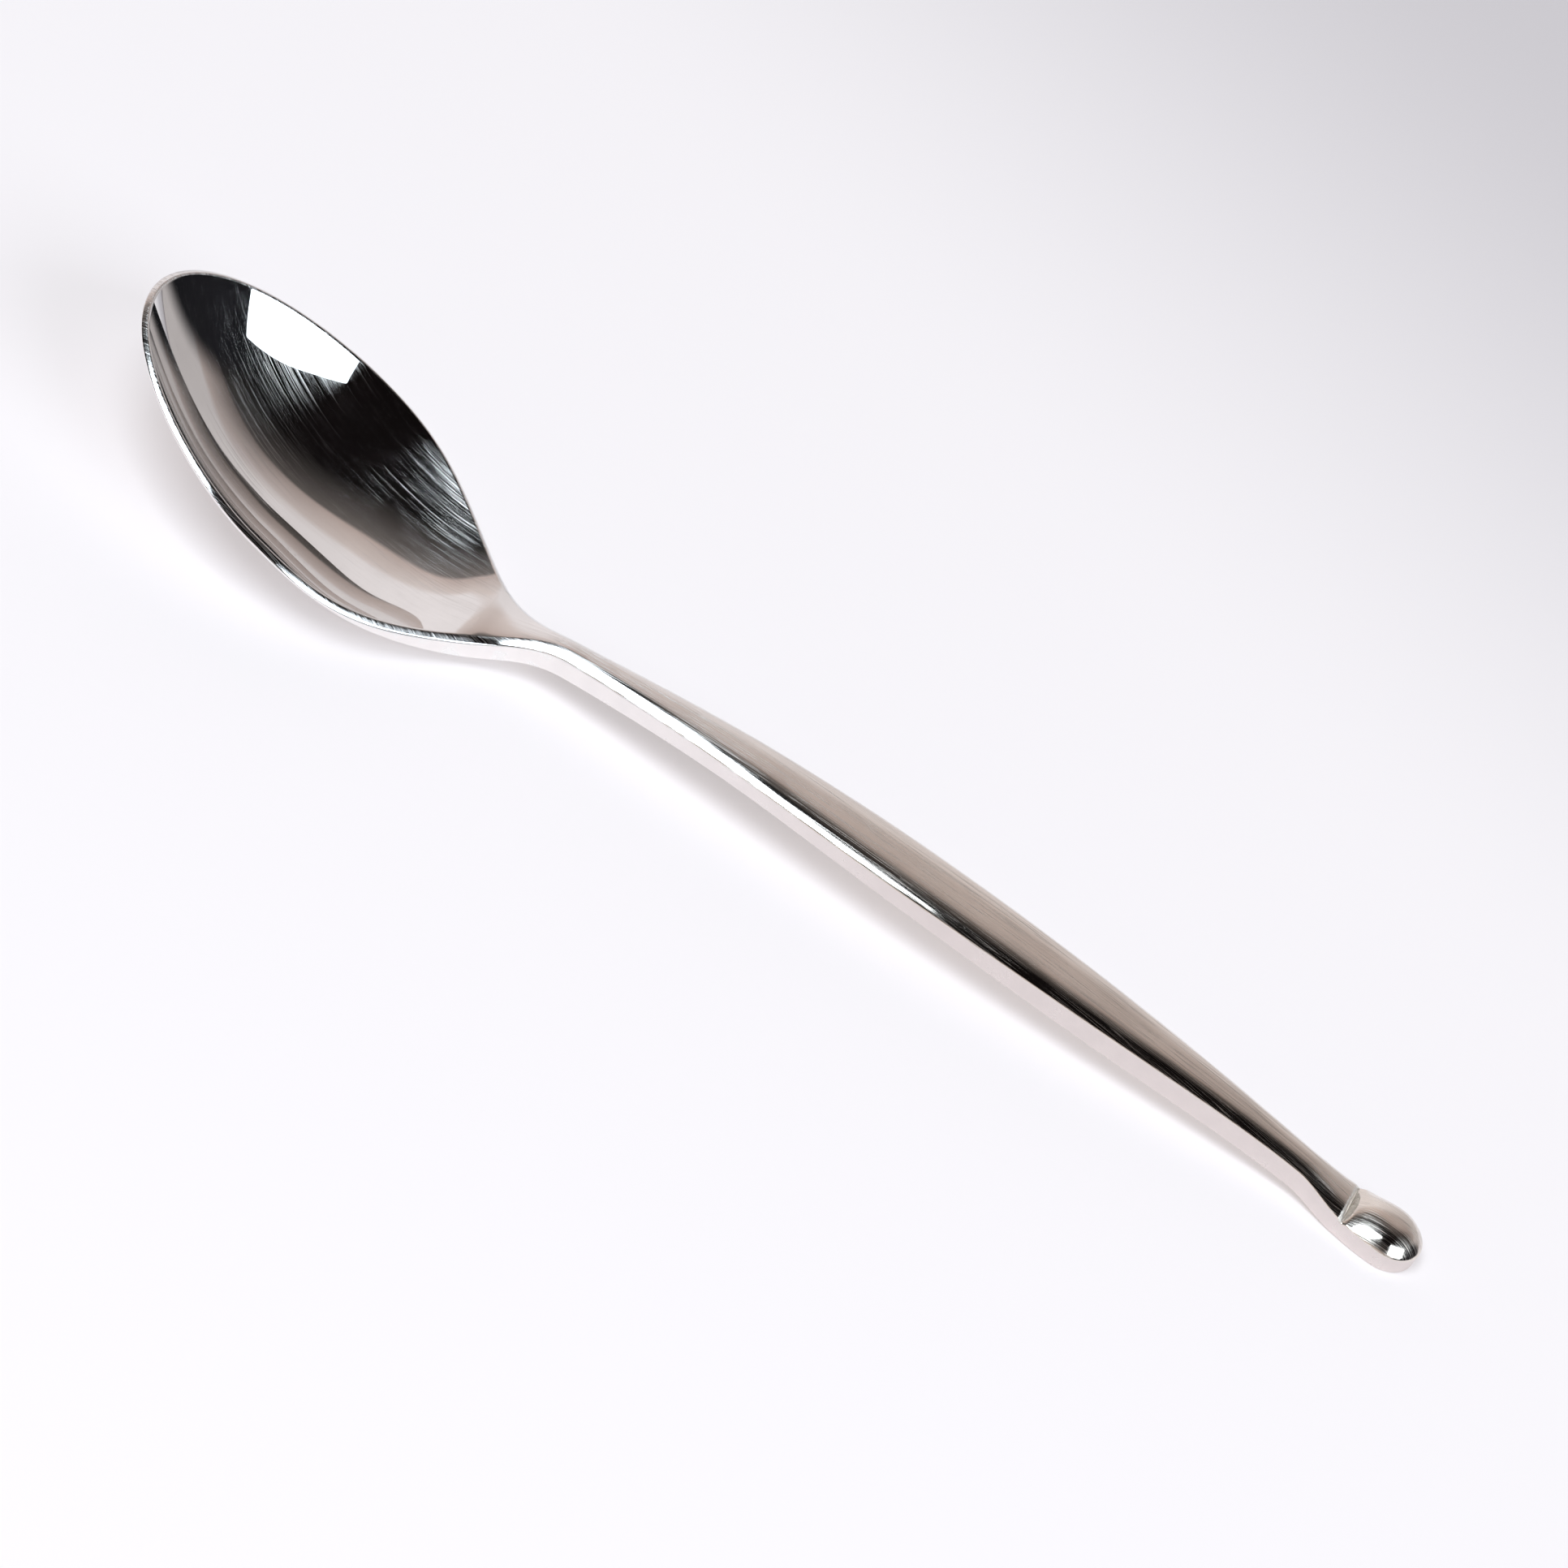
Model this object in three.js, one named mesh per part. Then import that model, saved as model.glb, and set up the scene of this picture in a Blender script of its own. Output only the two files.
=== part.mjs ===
// Coffee spoon struck from one bar of metal: an oval bowl, a slim neck, a crowned handle that
// swells and tapers, and a round drop at its end, set off by a groove.
// Millimetres, +Z up. X runs from the tip of the bowl to the end of the drop, and Y across.
// The origin is under the middle of the spoon, on the surface that it lies on.
import * as THREE from 'three';
import { mergeVertices } from 'three/addons/utils/BufferGeometryUtils.js';

// Stretches along the spoon, from the tip of the bowl to the end of the drop
const TIP_TO_BOWL_WIDEST = 17.25;
const BOWL_WIDEST_TO_HEEL = 16.75;
const HEEL_TO_NECK = 7.5;
const NECK_TO_HANDLE_WIDEST = 30.5;
const HANDLE_WIDEST_TO_WAIST = 37;
const WAIST_TO_GROOVE = 4.65;
const GROOVE_TO_DROP_CREST = 3.6;
const DROP_CREST_TO_END = 2.85;

// Places between those, measured from one of their ends
const BOWL_WIDEST_TO_REST = 4.75;
const BOWL_WIDEST_TO_LOWEST = 5.85;
const BOWL_WIDEST_TO_RIM_END = 5.75;
const HEEL_TO_THICKEST_EDGE = 3;
const TIP_END_TO_BOWL_WIDEST = 3.25;
const HOLLOW_FADE = 6;
const TURN_FADE = 8;
const HANDLE_WIDEST_TO_FULLEST = 10;
const WIDE_BEVEL_END_TO_WIDEST = 4;
const NECK_TO_HANDLE_PIECE = 4.5;
const NECK_TO_ARCH = 17.5;
const TAPER_TO_WAIST = 14.6;

// Widths seen from above
const BOWL_WIDTH = 24.56;
const NECK_WIDTH = 2.7;
const HANDLE_WIDTH = 6.14;
const WAIST_WIDTH = 3.1;
const DROP_WIDTH = 5.6;

// Heights of the crisp edge that runs round the spoon, over the surface that it lies on
const TIP_HEIGHT = 11.5;
const BOWL_SIDE_HEIGHT = 6.22;
const HEEL_HEIGHT = 2.5;
const NECK_HEIGHT = 4.3;
const ARCH_HEIGHT = 5.31;
const HANDLE_HEIGHT = 5.09;
const TAPER_HEIGHT = 4.07;
const WAIST_HEIGHT = 2.7;
const GROOVE_HEIGHT = 1.68;
const DROP_HEIGHT = 1.5;

// Thickness of the flat side below that edge
const RIM_EDGE = 0.18;
const HEEL_EDGE = 1.7;
const ARCH_EDGE = 1.28;
const TAPER_EDGE = 1.9;
const WAIST_EDGE = 1.83;
const DROP_EDGE = 1.62;

// The bevel inside the edge, and what rises or sinks from its ridge
const BEVEL_WIDTH = 0.48;
const NECK_BEVEL_WIDTH = 0.7;
const BEVEL_SLOPE = Math.tan(THREE.MathUtils.degToRad(35));
const CROWN_SLOPE = Math.tan(THREE.MathUtils.degToRad(22));
const NECK_CROWN_SHARE = 0.45;
const BOWL_WALL = 1.15;
const TIP_WALL = 0.55;
const REST_FLAT_DEPTH = 0.06;
const HEEL_RISE = 2.27;
const HEEL_BLEND = 0.9;
const HEEL_CLEARANCE = 0.7;
const UNDER_CROWN = 0.25;
const GROOVE_LEAD = 0.5;
const GROOVE_NOTCH = 0.18;
const DROP_RISE = 1.2;

// How full each crown is across: 2 is an even curve, and more is flatter in the middle
const CROWN_POWER = 3.1;
const FULL_CROWN_POWER = 4.2;
const DROP_POWER = 3;
const BOWL_UNDERSIDE_POWER = 2.05;
const HANDLE_UNDERSIDE_POWER = 4;

// How round the hollow is across: large is an even curve, and small is a valley with straight sides
const HOLLOW_BEND = 0.6;
const TIP_BEND = 1.4;

// Share of the hollow's depth that is gained in the turn up to the rim, and how tight that turn is
const RIM_TURN_TIP = 0.22;
const RIM_TURN_FRONT = 0.39;
const RIM_TURN_HEEL = 0.1;
const RIM_TURN_POWER = 2.7;

// Shapes of the outline's long curves: how long each holds its width, and how it runs out
const TIP_ROUNDNESS = 1.8;
const SHOULDER = { hold: 2.8, run: 3 };
const SWELL = { hold: 1.6, run: 1.3 };
const TAPER = { hold: 2.4, run: 1.6 };
const FLARE = { hold: 1.7, run: 1.6 };
const FLOOR_FRONT_POWER = 2.63;
const FLOOR_HEEL_POWER = 3.27;

// The same places, measured from the tip
const BOWL_WIDEST_AT = TIP_TO_BOWL_WIDEST;
const BOWL_REST_AT = BOWL_WIDEST_AT + BOWL_WIDEST_TO_REST;
const HOLLOW_LOWEST_AT = BOWL_WIDEST_AT + BOWL_WIDEST_TO_LOWEST;
const TIP_END_AT = BOWL_WIDEST_AT - TIP_END_TO_BOWL_WIDEST;
const RIM_END_AT = BOWL_WIDEST_AT + BOWL_WIDEST_TO_RIM_END;
const HEEL_AT = BOWL_WIDEST_AT + BOWL_WIDEST_TO_HEEL;
const EDGE_THICKEST_AT = HEEL_AT + HEEL_TO_THICKEST_EDGE;
const NECK_AT = HEEL_AT + HEEL_TO_NECK;
const HANDLE_START_AT = NECK_AT + NECK_TO_HANDLE_PIECE;
const ARCH_AT = NECK_AT + NECK_TO_ARCH;
const HANDLE_WIDEST_AT = NECK_AT + NECK_TO_HANDLE_WIDEST;
const WAIST_AT = HANDLE_WIDEST_AT + HANDLE_WIDEST_TO_WAIST;
const TAPER_AT = WAIST_AT - TAPER_TO_WAIST;
const GROOVE_AT = WAIST_AT + WAIST_TO_GROOVE;
const DROP_CREST_AT = GROOVE_AT + GROOVE_TO_DROP_CREST;
const LENGTH = DROP_CREST_AT + DROP_CREST_TO_END;

// Facets
const TINY = 1e-4;
const BOWL_COLUMNS = 22;
const NECK_COLUMNS = 14;
const HANDLE_COLUMNS = 12;
const DROP_COLUMNS = 14;

const MIRROR_POLISH = { color: 0xd3d1ce, roughness: 0.07, metalness: 1 };
const SOFT_POLISH = { color: 0xcbc5bf, roughness: 0.14, metalness: 1 };

// A smooth line through points [place, value] that never overshoots them
function smoothLine(points) {
  const at = points.map((point) => point[0]);
  const value = points.map((point) => point[1]);
  const last = points.length - 1;
  const rate = at.slice(1).map((place, i) => (value[i + 1] - value[i]) / (place - at[i]));
  const slope = at.map((place, i) => {
    if (i === 0) return rate[0];
    if (i === last) return rate[last - 1];
    if (rate[i - 1] * rate[i] <= 0) return 0;
    const before = at[i] - at[i - 1];
    const after = at[i + 1] - at[i];
    const weight = [2 * after + before, after + 2 * before];
    return (weight[0] + weight[1]) / (weight[0] / rate[i - 1] + weight[1] / rate[i]);
  });
  return (place) => {
    const s = THREE.MathUtils.clamp(place, at[0], at[last]);
    let i = 0;
    while (i < last - 1 && s > at[i + 1]) i += 1;
    const step = at[i + 1] - at[i];
    const t = (s - at[i]) / step;
    const start = (1 + 2 * t) * (1 - t) ** 2 * value[i] + t * (1 - t) ** 2 * step * slope[i];
    const end = t * t * (3 - 2 * t) * value[i + 1] + t * t * (t - 1) * step * slope[i + 1];
    return start + end;
  };
}

// The lower of two heights, rounded over where they meet
function softLower(a, b, blend) {
  const share = THREE.MathUtils.clamp(0.5 + (b - a) / (2 * blend), 0, 1);
  return b + (a - b) * share - blend * share * (1 - share);
}

// A curve that falls from 1 to 0 as t goes from 0 to 1
function fall(t, { hold, run }) {
  return (1 - Math.min(1, Math.max(0, t)) ** hold) ** run;
}

// Half of the spoon's width at a place along it
function halfWidth(s) {
  const bowl = BOWL_WIDTH / 2;
  const neck = NECK_WIDTH / 2;
  const handle = HANDLE_WIDTH / 2;
  const waist = WAIST_WIDTH / 2;
  const drop = DROP_WIDTH / 2;
  if (s <= 0 || s >= LENGTH) return 0;
  if (s < BOWL_WIDEST_AT) {
    return bowl * Math.sqrt(1 - (1 - s / BOWL_WIDEST_AT) ** TIP_ROUNDNESS);
  }
  if (s < NECK_AT) {
    return neck + (bowl - neck) * fall((s - BOWL_WIDEST_AT) / (NECK_AT - BOWL_WIDEST_AT), SHOULDER);
  }
  if (s < HANDLE_WIDEST_AT) {
    return neck + (handle - neck) * fall((HANDLE_WIDEST_AT - s) / NECK_TO_HANDLE_WIDEST, SWELL);
  }
  if (s < WAIST_AT) {
    return waist + (handle - waist) * fall((s - HANDLE_WIDEST_AT) / HANDLE_WIDEST_TO_WAIST, TAPER);
  }
  if (s < DROP_CREST_AT) {
    return waist + (drop - waist) * fall((DROP_CREST_AT - s) / (DROP_CREST_AT - WAIST_AT), FLARE);
  }
  return drop * Math.sqrt(1 - ((s - DROP_CREST_AT) / DROP_CREST_TO_END) ** 2);
}

// How fast the outline widens, and how much further it runs than its way along X
function outlineRate(s) {
  return (halfWidth(s + TINY) - halfWidth(s - TINY)) / (2 * TINY);
}

function outlineSlant(s) {
  return Math.hypot(1, outlineRate(s));
}

const edgeHeight = smoothLine([
  [0, TIP_HEIGHT],
  [BOWL_WIDEST_AT, BOWL_SIDE_HEIGHT],
  [HEEL_AT, HEEL_HEIGHT],
  [NECK_AT, NECK_HEIGHT],
  [ARCH_AT, ARCH_HEIGHT],
  [HANDLE_WIDEST_AT, HANDLE_HEIGHT],
  [TAPER_AT, TAPER_HEIGHT],
  [WAIST_AT, WAIST_HEIGHT],
  [GROOVE_AT, GROOVE_HEIGHT],
  [LENGTH, DROP_HEIGHT],
]);

const edgeThickness = smoothLine([
  [0, RIM_EDGE],
  [RIM_END_AT, RIM_EDGE],
  [EDGE_THICKEST_AT, HEEL_EDGE],
  [ARCH_AT, ARCH_EDGE],
  [TAPER_AT, TAPER_EDGE],
  [WAIST_AT, WAIST_EDGE],
  [GROOVE_AT, DROP_EDGE],
]);

// The flat side's lower line
function sideFoot(s) {
  return edgeHeight(s) - edgeThickness(s);
}

// A share that grows from 0 in the bowl to 1 at the neck
function neckShare(s) {
  return THREE.MathUtils.smoothstep(s, HEEL_AT - HOLLOW_FADE, NECK_AT);
}

// Where the outline is whose bevel, square to it, reaches the ridge at s in the bowl's front
function bevelStart(s) {
  let low = 0;
  let high = s;
  for (let turn = 0; turn < 40; turn += 1) {
    const middle = (low + high) / 2;
    const reached = middle + (BEVEL_WIDTH * outlineRate(middle)) / outlineSlant(middle);
    if (reached < s) low = middle;
    else high = middle;
  }
  return high;
}

// Width of the bevel, which is wider round the neck
function bevelWidth(s) {
  const grown = THREE.MathUtils.smoothstep(s, HEEL_AT, NECK_AT);
  const left = 1 - THREE.MathUtils.smoothstep(s, HANDLE_START_AT, HANDLE_WIDEST_AT - WIDE_BEVEL_END_TO_WIDEST);
  return THREE.MathUtils.lerp(BEVEL_WIDTH, NECK_BEVEL_WIDTH, grown * left);
}

// The ridge at the inside of the bevel: half its width, and its height
function ridge(s) {
  if (s <= BEVEL_WIDTH) return { half: 0, height: edgeHeight(s) + s * BEVEL_SLOPE };
  const width = bevelWidth(s);
  const height = edgeHeight(s) + width * BEVEL_SLOPE;
  if (s < BOWL_WIDEST_AT) {
    const start = bevelStart(s);
    return { half: Math.max(0, halfWidth(start) - width / outlineSlant(start)), height };
  }
  return { half: Math.max(0, halfWidth(s) - width * outlineSlant(s)), height };
}

// The lowest line of the bowl's hollow, which runs up through the heel
function hollowFloor(s) {
  const lowest = BOWL_WALL - REST_FLAT_DEPTH;
  if (s < HOLLOW_LOWEST_AT) {
    const brink = ridge(BEVEL_WIDTH).height;
    const reach = Math.min(1, (HOLLOW_LOWEST_AT - s) / (HOLLOW_LOWEST_AT - BEVEL_WIDTH));
    return lowest + (brink - lowest) * reach ** FLOOR_FRONT_POWER;
  }
  const climb = (s - HOLLOW_LOWEST_AT) / (HEEL_AT - HOLLOW_LOWEST_AT);
  return lowest + HEEL_RISE * climb ** FLOOR_HEEL_POWER;
}

// Share of the hollow's depth at q across, from 1 in the middle to 0 at the ridge
function hollowShare(s, q) {
  const opened = THREE.MathUtils.smoothstep(s, TIP_END_AT / 2, TIP_END_AT);
  const faded = THREE.MathUtils.smoothstep(s, HEEL_AT - TURN_FADE, HEEL_AT);
  const bend = THREE.MathUtils.lerp(TIP_BEND, HOLLOW_BEND, opened);
  const front = THREE.MathUtils.lerp(RIM_TURN_TIP, RIM_TURN_FRONT, opened);
  const turn = front + (RIM_TURN_HEEL - RIM_TURN_FRONT) * faded;
  const valley = (Math.hypot(bend, q) - bend) / (Math.hypot(bend, 1) - bend);
  return 1 - valley * (1 - turn) - q ** RIM_TURN_POWER * turn;
}

// How full the crown is across, along neck and handle
const crownPower = smoothLine([
  [ARCH_AT, CROWN_POWER],
  [HANDLE_WIDEST_AT + HANDLE_WIDEST_TO_FULLEST, FULL_CROWN_POWER],
  [WAIST_AT, CROWN_POWER],
]);

// How far the crown of neck and handle stands over the ridge
function crownRise(s) {
  const grown = THREE.MathUtils.smoothstep(s, NECK_AT, HANDLE_WIDEST_AT);
  const slope = CROWN_SLOPE * THREE.MathUtils.lerp(NECK_CROWN_SHARE, 1, grown);
  return (ridge(s).half * slope) / crownPower(s);
}

// The line along the middle of the top: the hollow's floor, then the crown of neck and handle
function crestHeight(s) {
  if (s < HOLLOW_LOWEST_AT) return hollowFloor(s);
  const crown = ridge(s).height + crownRise(s);
  return s < NECK_AT ? softLower(hollowFloor(s), crown, HEEL_BLEND) : crown;
}

// A share that falls from 1 to 0, rounded, over the end of the handle as it nears the groove
function grooveFall(s) {
  const near = THREE.MathUtils.clamp(1 - (GROOVE_AT - s) / GROOVE_LEAD, 0, 1);
  return Math.sqrt(1 - near * near);
}

// How deep the groove cuts into the edge
function notchDepth(s) {
  return GROOVE_NOTCH * Math.max(0, 1 - Math.abs(s - GROOVE_AT) / GROOVE_LEAD);
}

// Height of the top of bowl, neck and handle: bevel, then hollow or crown
function topHeight(s, y) {
  const edge = edgeHeight(s);
  const outer = halfWidth(s);
  const { half, height } = ridge(s);
  const across = Math.abs(y);
  let rise = outer > half ? ((height - edge) * (outer - across)) / (outer - half) : 0;
  if (across < half) {
    const q = across / half;
    const share = THREE.MathUtils.lerp(hollowShare(s, q), 1 - q ** crownPower(s), neckShare(s));
    rise = height - edge + (crestHeight(s) - height) * share;
  }
  return edge - notchDepth(s) + rise * grooveFall(s);
}

// Height of the drop, which is domed both ways
function dropHeight(s, y) {
  const half = halfWidth(s);
  const reach = s < DROP_CREST_AT ? GROOVE_TO_DROP_CREST : DROP_CREST_TO_END;
  const along = (s - DROP_CREST_AT) / reach;
  const across = half > TINY ? (y / half) * Math.sqrt(Math.max(0, 1 - along * along)) : 0;
  const out = Math.min(1, Math.hypot(along, across));
  return edgeHeight(s) - notchDepth(s) + DROP_RISE * (1 - out ** DROP_POWER);
}

// The lowest line of the underside
const heelKeel = smoothLine([
  [BOWL_WIDEST_AT, hollowFloor(BOWL_WIDEST_AT) - BOWL_WALL],
  [BOWL_REST_AT, hollowFloor(BOWL_REST_AT) - BOWL_WALL],
  [HEEL_AT, HEEL_CLEARANCE],
  [NECK_AT, sideFoot(NECK_AT) - UNDER_CROWN],
  [HANDLE_START_AT, sideFoot(HANDLE_START_AT) - UNDER_CROWN],
]);

function keelHeight(s) {
  if (s < BOWL_REST_AT) {
    const wall = TIP_WALL + (BOWL_WALL - TIP_WALL) * Math.min(1, s / BOWL_WIDEST_AT);
    return Math.min(hollowFloor(s) - wall, sideFoot(s));
  }
  if (s < NECK_AT) return heelKeel(s);
  if (s < GROOVE_AT) return sideFoot(s) - UNDER_CROWN;
  return -REST_FLAT_DEPTH;
}

// Height of the underside, worn flat where the spoon lies on it
function underHeight(s, y) {
  const half = halfWidth(s);
  const foot = sideFoot(s);
  const across = half > TINY ? Math.abs(y) / half : 1;
  const power = THREE.MathUtils.lerp(BOWL_UNDERSIDE_POWER, HANDLE_UNDERSIDE_POWER, neckShare(s));
  return Math.max(0, foot - (foot - keelHeight(s)) * (1 - across ** power));
}

// Columns across a section: the edges, the ridges and even steps between the ridges
function columnsAcross(s, count) {
  const half = halfWidth(s);
  const inner = ridge(s).half;
  const steps = Array.from({ length: count + 1 }, (unused, i) => inner * ((2 * i) / count - 1));
  return [-half, ...steps, half];
}

// Columns across the drop, closer together towards its edges
function dropColumnsAcross(s, count) {
  const half = halfWidth(s);
  return Array.from({ length: count + 1 }, (unused, i) => -half * Math.cos((Math.PI * i) / count));
}

// A closed skin over sections at the given places: top, underside, flat sides and end faces
function skin(places, across, top) {
  const positions = [];
  const triangles = [];
  const width = across(places[0]).length;
  for (const s of places) {
    const columns = across(s);
    columns.forEach((y) => positions.push(s - LENGTH / 2, y, top(s, y)));
    columns.forEach((y) => positions.push(s - LENGTH / 2, y, underHeight(s, y)));
  }
  const topAt = (row, column) => row * 2 * width + column;
  const underAt = (row, column) => topAt(row, column) + width;
  const quad = (a, b, c, d) => triangles.push(a, b, c, a, c, d);
  for (let row = 0; row < places.length - 1; row += 1) {
    for (let j = 0; j < width - 1; j += 1) {
      quad(topAt(row, j), topAt(row + 1, j), topAt(row + 1, j + 1), topAt(row, j + 1));
      quad(underAt(row, j), underAt(row, j + 1), underAt(row + 1, j + 1), underAt(row + 1, j));
    }
    const far = width - 1;
    quad(underAt(row, 0), underAt(row + 1, 0), topAt(row + 1, 0), topAt(row, 0));
    quad(underAt(row, far), topAt(row, far), topAt(row + 1, far), underAt(row + 1, far));
  }
  const end = places.length - 1;
  for (let j = 0; j < width - 1; j += 1) {
    quad(underAt(0, j), topAt(0, j), topAt(0, j + 1), underAt(0, j + 1));
    quad(underAt(end, j), underAt(end, j + 1), topAt(end, j + 1), topAt(end, j));
  }
  const loose = new THREE.BufferGeometry();
  loose.setAttribute('position', new THREE.Float32BufferAttribute(positions, 3));
  loose.setIndex(triangles);
  return withoutSlivers(mergeVertices(loose, TINY));
}

// Leaves out the triangles whose corners have run together
function withoutSlivers(geometry) {
  const index = geometry.getIndex().array;
  const kept = [];
  for (let i = 0; i < index.length; i += 3) {
    const [a, b, c] = [index[i], index[i + 1], index[i + 2]];
    if (a !== b && b !== c && c !== a) kept.push(a, b, c);
  }
  geometry.setIndex(kept);
  geometry.computeVertexNormals();
  return geometry;
}

// Places from one to another: even steps, or closer together towards a rounded start or end
function evenPlaces(from, to, count) {
  return Array.from({ length: count + 1 }, (unused, i) => from + ((to - from) * i) / count);
}

function placesFromRoundStart(from, to, count) {
  return Array.from(
    { length: count + 1 },
    (unused, i) => from + (to - from) * (1 - Math.cos((Math.PI * i) / (2 * count))),
  );
}

function placesToRoundEnd(from, to, count) {
  return placesFromRoundStart(from, to, count).map((place) => from + to - place).reverse();
}

function named(name, finish, geometry) {
  const mesh = new THREE.Mesh(geometry, new THREE.MeshStandardMaterial(finish));
  mesh.name = name;
  return mesh;
}

function makeBowl() {
  const places = [
    ...placesFromRoundStart(0, BOWL_WIDEST_AT, 16),
    ...evenPlaces(BOWL_WIDEST_AT, HEEL_AT, 14).slice(1),
  ];
  const across = (s) => columnsAcross(s, BOWL_COLUMNS);
  return named('bowl', MIRROR_POLISH, skin(places, across, topHeight));
}

function makeNeck() {
  const places = evenPlaces(HEEL_AT, HANDLE_START_AT, 10);
  const across = (s) => columnsAcross(s, NECK_COLUMNS);
  return named('neck', SOFT_POLISH, skin(places, across, topHeight));
}

function makeHandle() {
  const leadAt = GROOVE_AT - GROOVE_LEAD;
  const places = [
    ...evenPlaces(HANDLE_START_AT, WAIST_AT, 22),
    ...evenPlaces(WAIST_AT, leadAt, 5).slice(1),
    ...placesToRoundEnd(leadAt, GROOVE_AT, 5).slice(1),
  ];
  const across = (s) => columnsAcross(s, HANDLE_COLUMNS);
  return named('handle', SOFT_POLISH, skin(places, across, topHeight));
}

function makeDropEnd() {
  const places = [
    ...evenPlaces(GROOVE_AT, GROOVE_AT + GROOVE_LEAD, 3),
    ...evenPlaces(GROOVE_AT + GROOVE_LEAD, DROP_CREST_AT, 7).slice(1),
    ...placesToRoundEnd(DROP_CREST_AT, LENGTH, 11).slice(1),
  ];
  const across = (s) => dropColumnsAcross(s, DROP_COLUMNS);
  return named('drop_end', SOFT_POLISH, skin(places, across, dropHeight));
}

const spoon = new THREE.Group();
spoon.add(makeBowl(), makeNeck(), makeHandle(), makeDropEnd());

export default spoon;
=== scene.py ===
import math

import bpy
from mathutils import Matrix, Vector


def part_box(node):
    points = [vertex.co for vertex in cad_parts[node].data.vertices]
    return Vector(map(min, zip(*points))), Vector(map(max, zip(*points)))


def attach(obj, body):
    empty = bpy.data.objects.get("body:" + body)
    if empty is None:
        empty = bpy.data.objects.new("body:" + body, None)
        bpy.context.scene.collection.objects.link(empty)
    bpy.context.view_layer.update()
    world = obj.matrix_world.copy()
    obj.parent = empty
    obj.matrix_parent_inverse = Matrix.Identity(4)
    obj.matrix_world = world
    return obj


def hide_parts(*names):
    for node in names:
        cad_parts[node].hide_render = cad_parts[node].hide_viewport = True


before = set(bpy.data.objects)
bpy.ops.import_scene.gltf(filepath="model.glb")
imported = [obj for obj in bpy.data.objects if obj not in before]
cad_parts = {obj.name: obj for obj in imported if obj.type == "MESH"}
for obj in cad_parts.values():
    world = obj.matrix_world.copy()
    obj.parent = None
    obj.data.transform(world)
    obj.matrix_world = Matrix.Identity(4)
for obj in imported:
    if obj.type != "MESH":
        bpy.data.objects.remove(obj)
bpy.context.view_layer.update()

MM = 0.001

# Places along the spoon, measured from the tip of the bowl, where one solid ends and the next starts
TIP_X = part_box("bowl")[0].x / MM
HEEL_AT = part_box("bowl")[1].x / MM - TIP_X
HANDLE_START_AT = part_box("neck")[1].x / MM - TIP_X
GROOVE_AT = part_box("handle")[1].x / MM - TIP_X
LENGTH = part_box("drop_end")[1].x / MM - TIP_X

# Places between those
BOWL_WIDEST_AT = HEEL_AT - 16.75
BOWL_REST_AT = BOWL_WIDEST_AT + 4.75
HOLLOW_LOWEST_AT = BOWL_WIDEST_AT + 5.85
RIM_END_AT = BOWL_WIDEST_AT + 5.75
TIP_END_AT = BOWL_WIDEST_AT - 3.25
TURN_FADE_START_AT = HEEL_AT - 8
HOLLOW_FADE_AT = HEEL_AT - 6
EDGE_THICKEST_AT = HEEL_AT + 3
NECK_AT = HANDLE_START_AT - 4.5
ARCH_AT = NECK_AT + 17.5
HANDLE_WIDEST_AT = NECK_AT + 30.5
WAIST_AT = GROOVE_AT - 4.65
TAPER_AT = WAIST_AT - 14.6
DROP_CREST_AT = GROOVE_AT + 3.6
FULLEST_CROWN_AT = HANDLE_WIDEST_AT + 10
WIDE_BEVEL_END_AT = HANDLE_WIDEST_AT - 4

# Places where the finish changes: fine streaks in the bowl, streaks at its heel, and the warm tint,
# which on the flat sides also darkens them as a painted shade
WIPED_AT = TIP_END_AT - 2
WIPED_START_AT = WIPED_AT - 5
WIPED_END_AT = WIPED_AT + 6
STIRRED_START_AT = HEEL_AT - 13
STIRRED_END_AT = HEEL_AT - 5
WARM_TINT_AND_SIDE_SHADE_AT = ARCH_AT + 20

# Half widths seen from above
BOWL_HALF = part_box("bowl")[1].y / MM
NECK_HALF = 1.35
HANDLE_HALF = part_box("handle")[1].y / MM
WAIST_HALF = 1.55
DROP_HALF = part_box("drop_end")[1].y / MM

# Heights of the crisp edge that runs round the spoon
TIP_HEIGHT = 11.5
BOWL_SIDE_HEIGHT = 6.22
HEEL_HEIGHT = 2.5
NECK_HEIGHT = 4.3
ARCH_HEIGHT = 5.31
HANDLE_HEIGHT = 5.09
TAPER_HEIGHT = 4.07
WAIST_HEIGHT = 2.7
GROOVE_HEIGHT = 1.68
DROP_HEIGHT = 1.5

# Thickness of the flat side below that edge
RIM_EDGE = 0.18
HEEL_EDGE = 1.7
ARCH_EDGE = 1.28
TAPER_EDGE = 1.9
WAIST_EDGE = 1.83
DROP_EDGE = 1.62

# The bevel inside the edge, and what rises or sinks from its ridge
BEVEL_WIDTH = 0.48
NECK_BEVEL_WIDTH = 0.7
BEVEL_SLOPE = math.tan(math.radians(35))
CROWN_SLOPE = math.tan(math.radians(22))
NECK_CROWN_SHARE = 0.45
BOWL_WALL = 1.15
TIP_WALL = 0.55
REST_FLAT_DEPTH = 0.06
HEEL_RISE = 2.27
HEEL_BLEND = 0.9
HEEL_CLEARANCE = 0.7
UNDER_CROWN = 0.25
GROOVE_LEAD = 0.5
GROOVE_NOTCH = 0.18
DROP_RISE = 1.2

# How full each crown and hollow is across: 2 is an even curve, and more is flatter in the middle
CROWN_POWER = 3.1
FULL_CROWN_POWER = 4.2
DROP_POWER = 3.0
BOWL_UNDERSIDE_POWER = 2.05
HANDLE_UNDERSIDE_POWER = 4
TIP_ROUNDNESS = 1.8
FLOOR_FRONT_POWER = 2.63
FLOOR_HEEL_POWER = 3.27

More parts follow.
